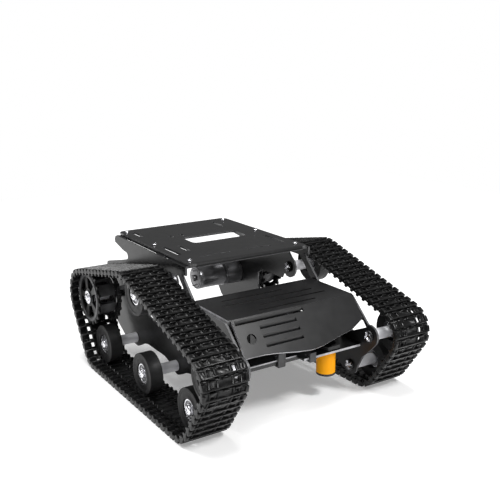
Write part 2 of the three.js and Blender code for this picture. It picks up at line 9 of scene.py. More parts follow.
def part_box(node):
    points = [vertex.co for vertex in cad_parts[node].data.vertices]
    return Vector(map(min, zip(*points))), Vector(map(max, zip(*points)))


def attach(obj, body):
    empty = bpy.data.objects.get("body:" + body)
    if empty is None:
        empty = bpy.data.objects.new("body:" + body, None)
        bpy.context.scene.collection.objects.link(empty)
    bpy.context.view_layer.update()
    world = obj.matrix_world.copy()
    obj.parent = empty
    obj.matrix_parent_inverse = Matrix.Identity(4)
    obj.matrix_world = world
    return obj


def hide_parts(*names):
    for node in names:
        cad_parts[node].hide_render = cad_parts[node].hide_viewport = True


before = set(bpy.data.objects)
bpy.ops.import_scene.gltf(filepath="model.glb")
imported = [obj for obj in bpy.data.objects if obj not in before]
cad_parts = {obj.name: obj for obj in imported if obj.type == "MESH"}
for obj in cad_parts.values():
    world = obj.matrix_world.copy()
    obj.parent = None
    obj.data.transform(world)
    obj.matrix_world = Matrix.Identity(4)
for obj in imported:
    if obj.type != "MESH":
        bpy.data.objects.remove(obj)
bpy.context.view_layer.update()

MM = 0.001
SIDES = {"left": 1, "right": -1}
WHEELS = ("return_roller", "idler_wheel", "road_wheel_front", "road_wheel_middle", "road_wheel_rear")
ROUND = 64                    # segments of a turned piece
HEAD_ROUND = 32               # segments of a screw head


def centre_of(node):
    """The middle of a CAD node's box in millimetres."""
    low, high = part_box(node)
    return (low + high) / (2 * MM)


def box_of(node):
    """A CAD node's box in millimetres."""
    low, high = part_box(node)
    return low / MM, high / MM


# ---- Materials ---------------------------------------------------------------------------------
def surface(name, dark, light, roughness, metallic=0.0, specular=0.5, tone_scale=45.0, grain_scale=1400.0,
            grain=0.00004, spread=0.07, stretch=(1.0, 1.0, 1.0), coat=0.0):
    """Two tones mixed by broad noise, roughness that wanders a little, and a fine grain in the bump."""
    material = bpy.data.materials.new(name)
    material.use_nodes = True
    nodes, links = material.node_tree.nodes, material.node_tree.links
    shader = nodes["Principled BSDF"]
    shader.inputs["Metallic"].default_value = metallic
    shader.inputs["Specular IOR Level"].default_value = specular
    shader.inputs["Coat Weight"].default_value = coat
    place = nodes.new("ShaderNodeTexCoord")
    mapping = nodes.new("ShaderNodeMapping")
    mapping.inputs["Scale"].default_value = stretch
    links.new(place.outputs["Object"], mapping.inputs["Vector"])

    def noise(scale, detail):
        node = nodes.new("ShaderNodeTexNoise")
        node.inputs["Scale"].default_value = scale
        node.inputs["Detail"].default_value = detail
        links.new(mapping.outputs["Vector"], node.inputs["Vector"])
        return node

    tones = nodes.new("ShaderNodeValToRGB")
    tones.color_ramp.elements[0].position = 0.35
    tones.color_ramp.elements[0].color = (*dark, 1.0)
    tones.color_ramp.elements[1].position = 0.68
    tones.color_ramp.elements[1].color = (*light, 1.0)
    links.new(noise(tone_scale, 5.0).outputs["Fac"], tones.inputs["Fac"])
    links.new(tones.outputs["Color"], shader.inputs["Base Color"])
    wander = nodes.new("ShaderNodeMapRange")
    wander.inputs["From Min"].default_value = 0.3
    wander.inputs["From Max"].default_value = 0.7
    wander.inputs["To Min"].default_value = roughness - spread
    wander.inputs["To Max"].default_value = roughness + spread
    links.new(noise(tone_scale * 3.1, 3.0).outputs["Fac"], wander.inputs["Value"])
    links.new(wander.outputs["Result"], shader.inputs["Roughness"])
    bump = nodes.new("ShaderNodeBump")
    bump.inputs["Strength"].default_value = 0.6
    bump.inputs["Distance"].default_value = grain
    links.new(noise(grain_scale, 2.0).outputs["Fac"], bump.inputs["Height"])
    links.new(bump.outputs["Normal"], shader.inputs["Normal"])
    return material


def grey(value):
    return (value, value, value * 1.04)


MATERIALS = {
    "sheet": surface("black_powder_coat", grey(0.008), grey(0.011), 0.30, specular=0.42, spread=0.02,
                     grain=0.00001),
    # Lighter grey on the cut faces of the decks and side plates: a painted highlight along the sheet edges.
    "sheet_edge_highlight": surface("edge_coat_with_painted_highlight", grey(0.05), grey(0.10), 0.34, specular=0.6,
                          tone_scale=160.0),
    # Light grey bare metal on cut faces, partly a painted highlight along bends and the nose's edges.
    "bare_edge_and_highlight": surface("bare_metal_edges_with_painted_highlight", grey(0.30), grey(0.55), 0.45, metallic=0.15,
                         tone_scale=160.0),
    "track": surface("moulded_track_plastic", grey(0.003), grey(0.007), 0.33, specular=0.30, tone_scale=90.0,
                     grain=0.00005, spread=0.05),
    "wheel": surface("moulded_wheel_plastic", grey(0.009), grey(0.017), 0.52, specular=0.30, tone_scale=70.0,
                     grain=0.00005),
    "sprocket": surface("moulded_sprocket_plastic", grey(0.005), grey(0.010), 0.38, specular=0.36,
                        tone_scale=80.0),
    # Lighter grey on the sprocket rims and barrel bars: a painted highlight where the light falls on them.
    "rim": surface("sprocket_rim_with_painted_highlight", grey(0.045), grey(0.085), 0.42, specular=0.5, tone_scale=120.0),
    "satin": surface("satin_turned_metal", grey(0.74), grey(0.84), 0.50, metallic=0.15, tone_scale=30.0,
                     stretch=(9.0, 1.0, 1.0), grain=0.00002),
    "bright": surface("polished_plated_steel", grey(0.80), grey(0.92), 0.20, metallic=1.0, tone_scale=120.0,
                      spread=0.06, grain=0.00001),
    "shield": surface("bearing_shield", grey(0.16), grey(0.26), 0.30, metallic=0.9, tone_scale=200.0),
    "gunmetal": surface("dark_satin_motor_case", grey(0.17), grey(0.24), 0.36, metallic=0.75, tone_scale=60.0,
                        stretch=(0.3, 1.0, 1.0)),
    "blackened": surface("blackened_steel_screw", grey(0.012), grey(0.028), 0.28, metallic=0.6,
                         tone_scale=300.0),
    "yellow": surface("yellow_moulded_barrel", (0.84, 0.33, 0.0005), (0.90, 0.38, 0.001), 0.45, specular=0.12,
                      tone_scale=35.0),
    "black_plastic": surface("black_moulded_plastic", grey(0.006), grey(0.012), 0.42, specular=0.4,
                             tone_scale=150.0),
    "threaded_black": surface("threaded_black_plastic", grey(0.003), grey(0.006), 0.60, specular=0.15,
                              tone_scale=150.0),
    "clip": surface("grey_spring_clip", grey(0.035), grey(0.055), 0.45, specular=0.4, tone_scale=150.0),
    "wrap": surface("battery_shrink_film", grey(0.010), grey(0.018), 0.24, tone_scale=25.0, coat=0.2),
}


# ---- Mesh helpers ------------------------------------------------------------------------------
def linked(name, data):
    """A new object in the scene."""
    made = bpy.data.objects.new(name, data)
    bpy.context.scene.collection.objects.link(made)
    return made


def new_object(name, mesh, *materials):
    """A new object whose material slots are exactly the ones named."""
    piece = linked(name, mesh)
    mesh.materials.clear()
    for material in materials:
        mesh.materials.append(MATERIALS[material])
    return piece


def mesh_from(bm, name):
    """A smooth mesh from a bmesh, with its faces turned outward; the bmesh is used up."""
    bmesh.ops.recalc_face_normals(bm, faces=bm.faces)
    mesh = bpy.data.meshes.new(name)
    bm.to_mesh(mesh)
    bm.free()
    mesh.shade_smooth()
    return mesh


def shade(mesh, angle):
    """Smooth shading, except across edges that turn more than an angle in degrees."""
    mesh.shade_smooth()
    mesh.set_sharp_from_angle(angle=math.radians(angle))
    return mesh


def soften(piece, width, segments=2, angle=40.0):
    """Rounds the edges that turn more than an angle in degrees."""
    bevel = piece.modifiers.new("edges", "BEVEL")
    bevel.width = width * MM
    bevel.segments = segments
    bevel.limit_method = "ANGLE"
    bevel.angle_limit = math.radians(angle)
    bevel.use_clamp_overlap = True
    bevel.harden_normals = True
    return piece


def settle(piece, body, slot, *nodes):
    """Makes a finished piece ride on a body and lets it stand for CAD nodes; the slot that would name its
    finish is not used.
    """
    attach(piece, body)
    if nodes:
        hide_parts(*nodes)
    return piece


def baked(piece):
    """The piece's mesh with its modifiers applied; the object itself is removed."""
    graph = bpy.context.evaluated_depsgraph_get()
    mesh = bpy.data.meshes.new_from_object(piece.evaluated_get(graph))
    bpy.data.objects.remove(piece)
    return mesh


def turned_mesh(name, profile, segments=ROUND):
    """Turns a profile of (radius, height) in millimetres round the local Z axis."""
    bm = bmesh.new()
    rings = []
    for radius, height in profile:
        if radius == 0:
            rings.append([bm.verts.new((0.0, 0.0, height * MM))] * segments)
            continue
        rings.append([bm.verts.new((radius * MM * math.cos(2 * math.pi * i / segments),
                                    radius * MM * math.sin(2 * math.pi * i / segments),
                                    height * MM)) for i in range(segments)])
    closing = rings[:1] if profile[0][0] > 0 else []
    for ring, following in zip(rings, rings[1:] + closing):
        for i in range(segments):
            j = (i + 1) % segments
            corners = list(dict.fromkeys((ring[i], ring[j], following[j], following[i])))
            if len(corners) > 2:
                bm.faces.new(corners)
    return mesh_from(bm, name)


def facing(side):
    """Turns local Z to the outside of one side of the chassis."""
    return Matrix.Rotation(side * math.pi / 2, 4, "Y")


def turned_on_axle(name, profile, side, place, material, bevel=0.25, segments=ROUND):
    """A piece turned round an axle; the profile's heights are distances from the centre plane."""
    piece = new_object(name, turned_mesh(name, profile, segments), material)
    piece.matrix_world = Matrix.Translation((0, place[0] * MM, place[1] * MM)) @ facing(side)
    return soften(piece, bevel)


def flat_mesh(name, outlines, thickness, bevel):
    """A flat piece with holes, in the local XY plane and centred on it; outlines are in millimetres."""
    curve = bpy.data.curves.new(name, "CURVE")
    curve.dimensions = "2D"
    curve.fill_mode = "BOTH"
    for outline in outlines:
        spline = curve.splines.new("POLY")
        spline.points.add(len(outline) - 1)
        for point, (u, v) in zip(spline.points, outline):
            point.co = (u * MM, v * MM, 0.0, 1.0)
        spline.use_cyclic_u = True
    curve.extrude = (thickness / 2 - bevel) * MM
    curve.bevel_depth = bevel * MM
    curve.bevel_resolution = 1
    curve.offset = -bevel * MM
    holder = linked(name, curve)
    bpy.context.view_layer.update()
    return baked(holder)


def circle(radius, count):
    """Points round the origin, evenly spaced."""
    angles = [2 * math.pi * i / count for i in range(count)]
    return [(radius * math.cos(angle), radius * math.sin(angle)) for angle in angles]


def add_block(bm, low, high, inset=0.0):
    """A box in millimetres; its lowest face in the second direction may be narrower along the first."""
    (u0, v0, w0), (u1, v1, w1) = low, high
    corners = [bm.verts.new((u * MM, v * MM, w * MM)) for u, v, w in (
        (u0 + inset, v0, w0), (u1 - inset, v0, w0), (u1, v1, w0), (u0, v1, w0),
        (u0 + inset, v0, w1), (u1 - inset, v0, w1), (u1, v1, w1), (u0, v1, w1))]
    for face in ((0, 1, 2, 3), (4, 7, 6, 5), (0, 4, 5, 1), (1, 5, 6, 2), (2, 6, 7, 3), (3, 7, 4, 0)):
        bm.faces.new([corners[i] for i in face])


def block_object(name, blocks):
    """Boxes in one object, each given as for add_block."""
    bm = bmesh.new()
    for block in blocks:
        add_block(bm, *block)
    return linked(name, mesh_from(bm, name))


def combine(piece, other, operation):
    """The exact boolean of two objects, as a new object in place of both."""
    modifier = piece.modifiers.new("combine", "BOOLEAN")
    modifier.operation = operation
    modifier.solver = "EXACT"
    modifier.use_self = True
    modifier.object = other
    bpy.context.view_layer.update()
    name = piece.name
    mesh = baked(piece)
    bpy.data.objects.remove(other)
    return linked(name, mesh)


# ---- Screws ------------------------------------------------------------------------------------
def head_mesh(name, radius, height, material, recess=0.5, arm_width=0.13, recess_material=None):
    """A domed screw head with a cross recess, standing on the local XY plane."""
    steps = 6
    angles = [math.pi / 2 * i / steps for i in range(steps + 1)]
    dome = [(radius * math.cos(angle * 0.8), height * (0.35 + 0.65 * math.sin(angle))) for angle in angles]
    profile = [(0.0, 0.0), (radius * 0.97, 0.0), *dome, (0.0, height * 1.02)]
    head = linked(name, turned_mesh(name, profile, HEAD_ROUND))
    arm, width, floor = radius * recess, radius * arm_width, height * 0.35
    cross = block_object(name + "_cross", [
        ((-arm, -width, floor), (arm, width, 2 * height)),
        ((-width, -arm, floor), (width, arm, 2 * height)),
    ])
    mesh = shade(baked(soften(combine(head, cross, "DIFFERENCE"), 0.06, segments=1)), 35)
    mesh.materials.clear()
    mesh.materials.append(MATERIALS[material])
    if recess_material:
        mesh.materials.append(MATERIALS[recess_material])
        for polygon in mesh.polygons:
            u, v, w = (abs(value) / MM for value in polygon.center)
            if max(u, v) <= arm + 0.05 and min(u, v) <= width + 0.05 and w > floor * 0.9:
                polygon.material_index = 1
    return mesh


AXLE_HEAD = head_mesh("axle_head", 4.6, 2.4, "bright")
INNER_HEAD = head_mesh("inner_head", 5.3, 2.4, "blackened", recess=0.72, arm_width=0.22,
                       recess_material="bright")
HUB_HEAD = head_mesh("hub_head", 3.9, 1.9, "bright")
SMALL_HEAD = head_mesh("small_head", 2.4, 1.4, "bright")
TINY_HEAD = head_mesh("tiny_head", 1.7, 0.9, "bright")


def screw(name, mesh, position, turn, body, slot, *nodes):
    """Puts a screw head at a position in millimetres; turn is the rotation of its axis from +Z."""
    piece = linked(name, mesh)
    piece.matrix_world = Matrix.Translation(Vector(position) * MM) @ turn
    return settle(piece, body, slot, *nodes)


# ---- The tracks --------------------------------------------------------------------------------
# The loop is the hull of five circles, as in the CAD. Each link is rigid and sits in the middle of its pitch.
LINK_COUNT = 75
TRACK_CENTRE = 95.0
PITCH_DEPTH = 1.0             # from the link's inner face out to its pins
LINK_PLATE = 2.0              # thickness of a link's plate
LINK_TOP = 4.1                # height of its cross bar
LINK_FOOT = 1.0               # where the raised shapes start, inside the plate
TURNING_GAP = 0.7             # between a wheel and the link's inner face
SPROCKET_SEAT = 25.4          # radius of the link's inner face on the sprocket
TOOTH_COUNT = 20
TOOTH_ROW = 10.5              # from the track's centre line to each row of teeth
HALF_WIDTH = 20.0             # half of the track's width
HALF_LINK = 3.5               # half of a link's plate, along the track
WINDOW_HALF = 2.35            # half of a tooth window, along the track
WINDOW_WIDTH = 1.65           # half of a tooth window, along the axles
PIN = 0.6                     # radius of a hinge pin
# Hinge knuckles at the two edges of a link, as spans along the axles.
LEADING_KNUCKLES = ((-16.5, -13.3), (-7.9, -4.1), (0.2, 4.0), (8.0, 13.2))
TRAILING_KNUCKLES = ((-20.0, -16.8), (-13.0, -8.2), (-3.8, -0.1), (4.3, 7.7), (13.5, 20.0))


def track_circles():
    """(y, z, radius of the track's inner face) of each circle, in the order that a link passes them."""
    barrel = centre_of("sprocket_barrel_left")
    found = [(barrel.y, barrel.z, SPROCKET_SEAT)]
    for wheel in ("return_roller", "idler_wheel", "road_wheel_front", "road_wheel_rear"):
        low, high = box_of(wheel + "_left")
        found.append(((low.y + high.y) / 2, (low.z + high.z) / 2, (high.z - low.z) / 2 + TURNING_GAP))
    return found


CIRCLES = track_circles()


def run_normal(a, b):
    """Direction of the outward normal of the straight run between two circles."""
    du, dv = b[0] - a[0], b[1] - a[1]
    return math.atan2(dv, du) - math.acos((a[2] - b[2]) / math.hypot(du, dv))


def track_pieces():
    """Arcs and straight runs: (kind, circle, next circle, start angle, turn, length on the pitch line)."""
    count = len(CIRCLES)
    normals = [run_normal(CIRCLES[i], CIRCLES[(i + 1) % count]) for i in range(count)]
    made = []
    for i, circle_now in enumerate(CIRCLES):
        start = normals[i - 1]
        turn = (normals[i] - start) % (2 * math.pi)
        made.append(("arc", circle_now, None, start, turn, turn * (circle_now[2] + PITCH_DEPTH)))
        following = CIRCLES[(i + 1) % count]
        gap = math.hypot(following[0] - circle_now[0], following[1] - circle_now[1])
        made.append(("run", circle_now, following, normals[i], 0.0,
                     math.sqrt(gap ** 2 - (circle_now[2] - following[2]) ** 2)))
    return made


PATH = track_pieces()
LOOP = sum(piece[-1] for piece in PATH)
PITCH = LOOP / LINK_COUNT
SPROCKET_PHASE = PATH[0][3]


def on_track(distance):
    """(y, z) of a point of the track's inner face, at a distance along the pitch line."""
    left = distance % LOOP
    for kind, a, b, start, turn, length in PATH:
        if left <= length:
            break
        left -= length
    part = left / length
    if kind == "arc":
        angle = start + part * turn
        return Vector((a[0] + a[2] * math.cos(angle), a[1] + a[2] * math.sin(angle)))
    p = Vector((a[0] + a[2] * math.cos(start), a[1] + a[2] * math.sin(start)))
    q = Vector((b[0] + b[2] * math.cos(start), b[1] + b[2] * math.sin(start)))
    return p.lerp(q, part)


def link_frames():
    """Middle, direction and outward normal of each link, in the (y, z) plane."""
    found = []
    for link in range(LINK_COUNT):
        a, b = on_track((link - 0.5) * PITCH), on_track((link + 0.5) * PITCH)
        along = (b - a).normalized()
        found.append(((a + b) / 2, along, Vector((along.y, -along.x))))
    return found


LINKS = link_frames()


def link_blocks():
    """The boxes that make a link, the plate first."""
    blocks = [((-HALF_LINK, 0.0, -HALF_WIDTH), (HALF_LINK, LINK_PLATE, HALF_WIDTH))]
    # The cross bar at the leading edge, and the low lip at the trailing one with its three pads.
    blocks.append(((WINDOW_HALF, LINK_FOOT, -HALF_WIDTH), (HALF_LINK, LINK_TOP, HALF_WIDTH)))
    blocks.append(((-HALF_LINK, LINK_FOOT, -HALF_WIDTH), (-WINDOW_HALF - 0.2, 2.4, HALF_WIDTH)))
    for middle in (-TOOTH_ROW, 0.0, TOOTH_ROW):
        blocks.append(((-HALF_LINK, LINK_FOOT, middle - 2.4), (-WINDOW_HALF, 3.7, middle + 2.4)))
    for end in (-1, 1):
        # At each end of the link: the raised end, a tapered fin and a guide lug inside the loop, two ribs.
        near, far = sorted((end * 17.4, end * HALF_WIDTH))
        blocks.append(((-2.0, LINK_FOOT, near), (HALF_LINK, LINK_TOP, far)))
        near, far = sorted((end * 18.4, end * HALF_WIDTH))
        blocks.append(((-1.7, -2.0, near), (1.7, 0.5, far), 0.5))
        near, far = sorted((end * 7.5, end * 8.5))
        blocks.append(((-1.9, -2.6, near), (1.9, 0.5, far), 0.8))
        for rib in (6.6, 14.0):
            blocks.append(((-3.0, LINK_FOOT, end * rib - 0.6), (3.0, 3.0, end * rib + 0.6)))
    for direction, spans in ((1, LEADING_KNUCKLES), (-1, TRAILING_KNUCKLES)):
        start, end = sorted((direction * 3.2, direction * PITCH / 2))
        blocks.extend(((start, 0.25, near), (end, 1.75, far)) for near, far in spans)
    return blocks


def link_mesh():
    """One link with two tooth windows; local X runs along the track, Y outward and Z along the axles."""
    blocks = link_blocks()
    whole = block_object("link", blocks[:1])
    for block in blocks[1:]:
        whole = combine(whole, block_object("block", [block]), "UNION")
    windows = [((-WINDOW_HALF, -1.0, row - WINDOW_WIDTH), (WINDOW_HALF, 5.0, row + WINDOW_WIDTH))
               for row in (-TOOTH_ROW, TOOTH_ROW)]
    whole = combine(whole, block_object("windows", windows), "DIFFERENCE")
    mesh = baked(soften(whole, 0.22, segments=1))
    mesh.shade_smooth()
    return mesh


LINK = link_mesh()


def track(side_name, side):
    """All links of one track in one mesh; its pins are a second piece."""
    points = [vertex.co.copy() for vertex in LINK.vertices]
    loops = [list(polygon.vertices) for polygon in LINK.polygons]
    vertices, faces = [], []
    for middle, along, out in LINKS:
        offset = len(vertices)
        for point in points:
            flat = middle * MM + along * point.x + out * point.y
            vertices.append((side * (TRACK_CENTRE * MM + point.z), flat.x, flat.y))
        faces.extend([[offset + i for i in loop] for loop in loops])
    mesh = bpy.data.meshes.new("track_links_" + side_name)
    mesh.from_pydata(vertices, [], faces)
    bm = bmesh.new()
    bm.from_mesh(mesh)
    bmesh.ops.recalc_face_normals(bm, faces=bm.faces)
    bm.to_mesh(mesh)
    bm.free()
    piece = new_object("track_links_" + side_name, shade(mesh, 50), "track")
    settle(piece, "root", "track_plastic", "track_" + side_name)

    bm = bmesh.new()
    for middle, along, out in LINKS:
        centre = middle + along * (PITCH / 2) + out * PITCH_DEPTH
        spot = Matrix.Translation((side * TRACK_CENTRE * MM, centre.x * MM, centre.y * MM))
        bmesh.ops.create_cone(bm, cap_ends=True, segments=10, radius1=PIN * MM, radius2=PIN * MM,
                              depth=2 * (HALF_WIDTH + 0.25) * MM,
                              matrix=spot @ Matrix.Rotation(math.pi / 2, 4, "Y"))
    pins = shade(mesh_from(bm, "track_pins_" + side_name), 50)
    settle(new_object("track_pins_" + side_name, pins, "blackened"), "root", "gunmetal")


# ---- Wheels, bearings and axles ----------------------------------------------------------------
PLATE_FACE = 67.3             # where the spacers start, at the outside of a side plate
WHEEL_SEAT = 9.5              # radius of the wheel's bore
STUD = 2.5                    # radius of the axle's stud
SPACER = 5.0                  # radius of its spacer


def wheel(name, side_name, side):
    """A wheel with its bearing, which turn together, and the fixed axle with its screws."""
    node = f"{name}_{side_name}"
    low, high = box_of(node)
    place = ((low.y + high.y) / 2, (low.z + high.z) / 2)
    near, far = sorted((abs(low.x), abs(high.x)))
    radius = (high.z - low.z) / 2
    disc = turned_on_axle(f"{node}_disc", [
        (WHEEL_SEAT, near), (radius, near), (radius, far), (radius - 2.6, far), (radius - 3.0, far - 0.35),
        (WHEEL_SEAT + 2.2, far - 0.35), (WHEEL_SEAT + 1.9, far - 0.1), (WHEEL_SEAT, far - 0.1),
    ], side, place, "wheel", bevel=0.7)
    disc.modifiers["edges"].segments = 3
    settle(disc, node, "wheel_plastic", node)

    bearing = f"{name}_bearing_{side_name}"
    low, high = box_of(bearing)
    inner, outer = sorted((abs(low.x), abs(high.x)))
    ring_radius = (high.z - low.z) / 2
    ring = turned_on_axle(f"{node}_outer_race", [
        (7.6, inner), (ring_radius, inner), (ring_radius, outer), (7.6, outer),
    ], side, place, "bright", bevel=0.3)
    settle(ring, node, "bright_metal", bearing)
    shield = turned_on_axle(f"{node}_shield", [
        (5.3, inner + 0.6), (7.4, inner + 0.6), (7.4, outer - 0.7), (6.4, outer - 0.55), (5.3, outer - 0.7),
    ], side, place, "shield", bevel=0.1)
    settle(shield, node, "bright_metal")
    race = turned_on_axle(f"{node}_inner_race", [
        (3.1, inner), (5.1, inner), (5.1, outer), (3.1, outer),
    ], side, place, "bright", bevel=0.2)
    settle(race, node, "bright_metal")

    axle = f"{name}_axle_{side_name}"
    low, high = box_of(axle)
    inside, outside = sorted((abs(low.x), abs(high.x)))
    spacer = turned_on_axle(f"{axle}_spacer", [
        (0, inside + 2.0), (STUD, inside + 2.0), (STUD, PLATE_FACE), (SPACER, PLATE_FACE),
        (SPACER, inner - 0.3), (STUD, inner - 0.3), (STUD, outside - 2.2), (0, outside - 2.2),
    ], side, place, "satin", bevel=0.35)
    settle(spacer, "root", "satin_metal", axle)
    outward = facing(side) @ Matrix.Rotation(0.5 + place[0] * 0.37, 4, "Z")
    screw(f"{axle}_head", AXLE_HEAD, (side * (outside - 2.4), *place), outward, "root", "bright_metal")
    inward = facing(-side) @ Matrix.Rotation(0.4, 4, "Z")
    screw(f"{axle}_inner_head", INNER_HEAD, (side * (inside + 2.4), *place), inward, "root", "gunmetal")


# ---- Sprockets, couplers and motors --------------------------------------------------------------
TOOTH_ROOT = 24.5
TOOTH_TIP = 27.2
SPOKE_COUNT = 5
SPOKE_BAND = (9.0, 19.6)      # inner and outer radius of the windows between the spokes
BAR_COUNT = 6
BAR_BAND = (15.0, 19.0)       # inner and outer radius of the bars of the barrel
RING_BAND = (14.6, 19.0)      # and of the rings at its ends
SHAFT_HOLE = 3.3              # radius of the hole in the discs
HUB = 5.0                     # radius of the coupler's hub
SHOULDER = 2.9                # radius of the shaft next to the hub


def kidney(inner, outer, start, end, steps=8):
    """A slot between two radii and two angles, in degrees."""
    angles = [math.radians(start + (end - start) * i / steps) for i in range(steps + 1)]
    return ([(outer * math.cos(a), outer * math.sin(a)) for a in angles]
            + [(inner * math.cos(a), inner * math.sin(a)) for a in reversed(angles)])


def toothed_outline():
    """The outline of a sprocket disc; each tooth rises from its root over a shoulder to a flat tip."""
    step = 2 * math.pi / TOOTH_COUNT
    flank = TOOTH_ROOT + 1.3
    outline = []
    for tooth in range(TOOTH_COUNT):
        middle = SPROCKET_PHASE + tooth * step
        for part, radius in ((-0.3, TOOTH_ROOT), (-0.2, flank), (-0.12, TOOTH_TIP),
                             (0.12, TOOTH_TIP), (0.2, flank), (0.3, TOOTH_ROOT)):
            angle = middle + part * step
            outline.append((radius * math.cos(angle), radius * math.sin(angle)))
    return outline


def on_side(name, outlines, thickness, material, place, x, bevel=0.2):
    """A flat piece across the axle: local X becomes +Y, local Y becomes +Z."""
    piece = new_object(name, shade(flat_mesh(name, outlines, thickness, bevel), 35), material)
    upright = Matrix(((0, 0, 1, 0), (1, 0, 0, 0), (0, 1, 0, 0), (0, 0, 0, 1)))
    piece.matrix_world = Matrix.Translation((x * MM, place[0] * MM, place[1] * MM)) @ upright
    return piece


def sprocket(side_name, side):
    """The two toothed discs with their rims, the barrel between them, and the coupler to the motor."""
    body = "drive_sprocket_" + side_name
    middle = centre_of("sprocket_barrel_" + side_name)
    place = (middle.y, middle.z)
    windows = [kidney(*SPOKE_BAND, turn + 12, turn + 60) for turn in range(0, 360, 360 // SPOKE_COUNT)]
    for which in ("inner", "outer"):
        node = f"sprocket_{which}_disc_{side_name}"
        low, high = box_of(node)
        outlines = [toothed_outline(), circle(SHAFT_HOLE, 24), *windows]
        plate = on_side(node + "_plate", outlines, high.x - low.x, "sprocket", place, (low.x + high.x) / 2)
        settle(plate, body, "track_plastic", node)
        rim_face = sorted((abs(low.x), abs(high.x)))[1 if which == "outer" else 0]
        step = 0.9 if which == "outer" else -0.9
        rim = turned_on_axle(node + "_rim", [
            (20.4, rim_face - step * 0.5), (24.0, rim_face - step * 0.5), (23.7, rim_face + step),
            (20.8, rim_face + step),
        ], side, place, "rim", bevel=0.2)
        settle(rim, body, "track_plastic")
    barrel = "sprocket_barrel_" + side_name
    low, high = box_of(barrel)
    near, far = sorted((abs(low.x), abs(high.x)))
    outlines = [kidney(*BAR_BAND, turn + 12, turn + 48) for turn in range(0, 360, 360 // BAR_COUNT)]
    bars = on_side(barrel + "_bars", outlines, far - near, "rim", place, (low.x + high.x) / 2, bevel=0.3)
    settle(bars, body, "track_plastic", barrel)
    for which, face in (("inner", near), ("outer", far)):
        start, end = sorted((face, face + (1.4 if which == "inner" else -1.4)))
        hollow, full = RING_BAND
        ring = turned_on_axle(f"{barrel}_{which}_ring", [
            (hollow, start), (full, start), (full, end), (hollow, end),
        ], side, place, "sprocket", bevel=0.3)
        settle(ring, body, "track_plastic")

    node = "drive_coupler_" + side_name
    low, high = box_of(node)
    inside, outside = sorted((abs(low.x), abs(high.x)))
    shaft = turned_on_axle(node + "_shaft", [
        (0, inside), (2.0, inside), (2.0, 69.0), (SHOULDER, 82.0), (SHOULDER, 86.6), (HUB, 86.6),
        (HUB, 103.4), (SHOULDER, 103.4), (SHOULDER, outside - 2.4), (0, outside - 2.4),
    ], side, place, "satin", bevel=0.3)
    settle(shaft, body, "satin_metal", node)
    hexagon = turned_on_axle(node + "_hexagon", [
        (2.2, 68.5), (6.0, 68.5), (6.0, 82.7), (2.2, 82.7),
    ], side, place, "blackened", bevel=0.4, segments=6)
    hexagon.data.shade_flat()
    settle(hexagon, body, "gunmetal")
    washer = turned_on_axle(node + "_washer", [
        (3.0, outside - 2.45), (6.6, outside - 2.45), (6.6, outside - 1.6), (3.0, outside - 1.6),
    ], side, place, "bright", bevel=0.15)
    settle(washer, body, "bright_metal")
    screw(node + "_head", HUB_HEAD, (side * (outside - 1.6), *place), facing(side), body, "bright_metal")


GROOVE = 0.35                 # depth of the grooves round the gearbox
MOTOR_NECK = 4.0              # length of the motor's end cap and bushing
TERMINAL_OFFSET = 8.0         # of each terminal above or below the motor's axis
GEARBOX_SCREW_CIRCLE = 8.5
GEARBOX_SCREW_FACE = 67.0


def gear_motor(side_name, side):
    """The gearbox with its three face screws, and the motor can with its end cap, bushing and terminals."""
    node = "gearbox_" + side_name
    low, high = box_of(node)
    place = ((low.y + high.y) / 2, (low.z + high.z) / 2)
    near, far = sorted((abs(low.x), abs(high.x)))
    radius = (high.z - low.z) / 2
    waist = radius - GROOVE
    gearbox = turned_on_axle(node + "_case", [
        (0, near), (radius, near),
        (radius, near + 2.2), (waist, near + 2.2), (waist, near + 2.7), (radius, near + 2.7),
        (radius, far - 3.0), (waist, far - 3.0), (waist, far - 2.5), (radius, far - 2.5),
        (radius, far), (0, far),
    ], side, place, "gunmetal", bevel=0.15)
    settle(gearbox, "root", "gunmetal", node)
    node = "motor_can_" + side_name
    low, high = box_of(node)
    end, split = sorted((abs(low.x), abs(high.x)))
    back = end + MOTOR_NECK
    radius = (high.z - low.z) / 2
    can = turned_on_axle(node + "_case", [
        (0, back + 0.6), (radius - 2.0, back + 0.6), (radius - 1.6, back), (radius - 0.4, back),
        (radius, back + 0.8), (radius, back + 5.5), (radius - 0.25, back + 5.8),
        (radius - 0.25, split - 1.0), (radius, split - 0.7), (radius, split), (0, split),
    ], side, place, "gunmetal", bevel=0.2)
    settle(can, "root", "gunmetal", node)
    cap = turned_on_axle(node + "_end_cap", [
        (0, end), (3.0, end), (3.4, end + 0.4), (3.4, back - 0.8), (6.0, back - 0.6),
        (radius - 2.3, back), (radius - 2.3, back + 0.55), (0, back + 0.55),
    ], side, place, "gunmetal", bevel=0.2)
    settle(cap, "root", "gunmetal")
    boss = turned_on_axle(node + "_bushing", [
        (0, end - 0.2), (1.0, end - 0.2), (1.0, end + 0.1), (2.2, end + 0.1),
        (2.2, end + 1.0), (0, end + 1.0),
    ], side, place, "satin", bevel=0.1)
    settle(boss, "root", "satin_metal")
    for i, spread in enumerate((-1, 1)):
        tab = block_object(f"{node}_terminal_{i + 1}", [((-1.2, -0.25, 0.0), (1.2, 0.25, 3.6))])
        tab.data.materials.append(MATERIALS["bright"])
        spot = Vector((side * (back - 0.5), place[0], place[1] + spread * TERMINAL_OFFSET)) * MM
        tab.matrix_world = Matrix.Translation(spot) @ facing(-side) @ Matrix.Rotation(math.pi / 2, 4, "Z")
        settle(soften(tab, 0.12, segments=1), "root", "bright_metal")
    for i in range(3):
        angle = math.radians(90 + 120 * i)
        spot = (side * GEARBOX_SCREW_FACE,
                place[0] + GEARBOX_SCREW_CIRCLE * math.cos(angle),
                place[1] + GEARBOX_SCREW_CIRCLE * math.sin(angle))
        screw(f"gearbox_{side_name}_screw_{i + 1}", TINY_HEAD, spot, facing(side), "root", "bright_metal")


